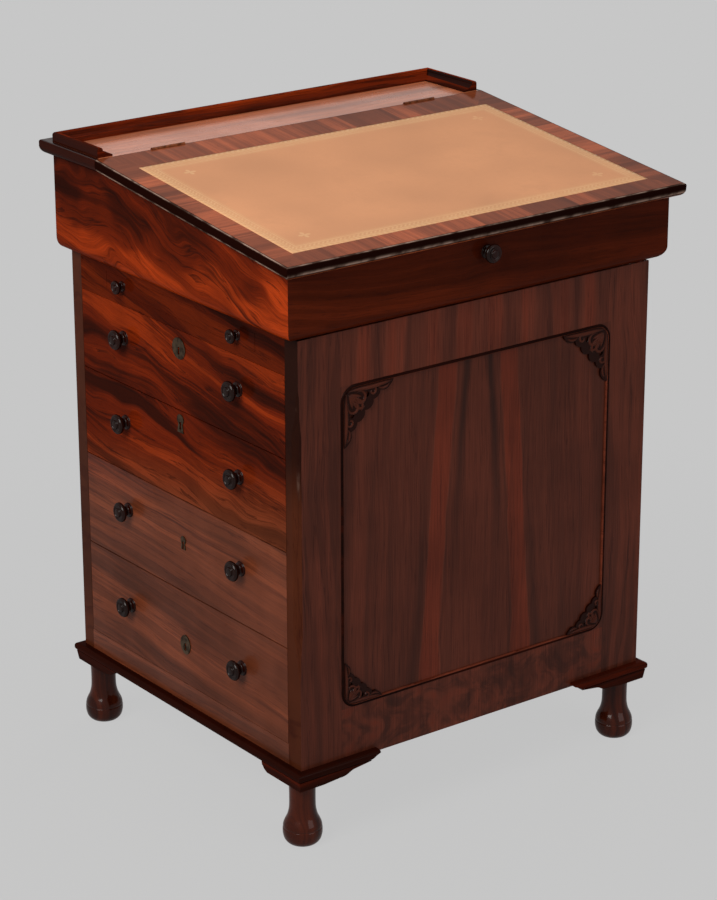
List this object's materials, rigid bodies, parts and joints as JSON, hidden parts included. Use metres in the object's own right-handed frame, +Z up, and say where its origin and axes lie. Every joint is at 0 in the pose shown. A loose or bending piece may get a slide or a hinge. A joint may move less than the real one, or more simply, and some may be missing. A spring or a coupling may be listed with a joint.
{
  "type": "davenport desk",
  "caption": "Small free-standing writing desk: a drawer pedestal carries a sliding desk box with a sloping leather-lined lid and a low gallery.",
  "frame": {"origin": "on the floor under the middle of the overall outline", "axes": "+Z up; -Y is the side where the writer sits; the working drawers open towards -X"},
  "size_m": [0.618, 0.5372, 0.821],
  "materials": {
    "rosewood": "French-polished rosewood veneer, red-brown with dark streaks",
    "lining_wood": "plain oiled mahogany lining",
    "dark_knobs": "dark polished turned hardwood",
    "brass": "aged brass",
    "leather": "tan writing leather with a tooled border"
  },
  "bodies": {
    "pedestal": {"front_panel": "rosewood", "panel_bead": "rosewood", "corner_frets": "rosewood", "back_panel": "rosewood", "right_side_panel": "lining_wood", "right_frame": "rosewood", "false_fronts": "rosewood", "false_knobs": "dark_knobs", "false_escutcheons": "brass", "left_front_stile": "rosewood", "left_back_stile": "rosewood", "left_rails": "rosewood", "dust_boards": "lining_wood", "drawer_guides": "lining_wood", "pedestal_top": "lining_wood", "plinth_frame": "rosewood", "corner_brackets": "rosewood", "feet": "rosewood"},
    "desk_box": {"box_front": "rosewood", "box_left_side": "rosewood", "box_right_side": "rosewood", "box_back": "rosewood", "box_bottom": "lining_wood", "box_runners": "lining_wood", "top_shelf": "rosewood", "gallery_rail": "rosewood", "box_knob": "dark_knobs", "hinge_leaves_shelf": "brass", "hinge_pins": "brass", "inner_bank": "lining_wood"},
    "lid": {"lid_board": "rosewood", "writing_leather": "leather", "hinge_leaves_lid": "brass"},
    "inner_drawer_left": {"inner_drawer_left": "lining_wood"},
    "inner_drawer_right": {"inner_drawer_right": "lining_wood"},
    "writing_slide": {"slide_board": "lining_wood", "slide_front": "rosewood", "slide_knobs": "dark_knobs"},
    "drawer_1": {"drawer_1_front": "rosewood", "drawer_1_sides": "lining_wood", "drawer_1_bottom": "lining_wood", "drawer_1_knobs": "dark_knobs", "drawer_1_lock": "brass"},
    "drawer_2": {"drawer_2_front": "rosewood", "drawer_2_sides": "lining_wood", "drawer_2_bottom": "lining_wood", "drawer_2_knobs": "dark_knobs", "drawer_2_lock": "brass"},
    "drawer_3": {"drawer_3_front": "rosewood", "drawer_3_sides": "lining_wood", "drawer_3_bottom": "lining_wood", "drawer_3_knobs": "dark_knobs", "drawer_3_lock": "brass"},
    "drawer_4": {"drawer_4_front": "rosewood", "drawer_4_sides": "lining_wood", "drawer_4_bottom": "lining_wood", "drawer_4_knobs": "dark_knobs", "drawer_4_lock": "brass"}
  },
  "joints": [
    {"name": "desk_box_slide", "type": "slide", "parent": "pedestal", "child": "desk_box", "axis": [0, -1, 0], "range_m": [0, 0.16]},
    {"name": "lid_hinge", "type": "hinge", "parent": "desk_box", "child": "lid", "pos_m": [0, 0.137, 0.808], "axis": [-1, 0, 0], "range_deg": [0, 100]},
    {"name": "inner_drawer_left_slide", "type": "slide", "parent": "desk_box", "child": "inner_drawer_left", "axis": [0, -1, 0], "range_m": [0, 0.08]},
    {"name": "inner_drawer_right_slide", "type": "slide", "parent": "desk_box", "child": "inner_drawer_right", "axis": [0, -1, 0], "range_m": [0, 0.08]},
    {"name": "writing_slide_pull", "type": "slide", "parent": "pedestal", "child": "writing_slide", "axis": [-1, 0, 0], "range_m": [0, 0.25]},
    {"name": "drawer_1_slide", "type": "slide", "parent": "pedestal", "child": "drawer_1", "axis": [-1, 0, 0], "range_m": [0, 0.33]},
    {"name": "drawer_2_slide", "type": "slide", "parent": "pedestal", "child": "drawer_2", "axis": [-1, 0, 0], "range_m": [0, 0.33]},
    {"name": "drawer_3_slide", "type": "slide", "parent": "pedestal", "child": "drawer_3", "axis": [-1, 0, 0], "range_m": [0, 0.33]},
    {"name": "drawer_4_slide", "type": "slide", "parent": "pedestal", "child": "drawer_4", "axis": [-1, 0, 0], "range_m": [0, 0.33]}
  ]
}
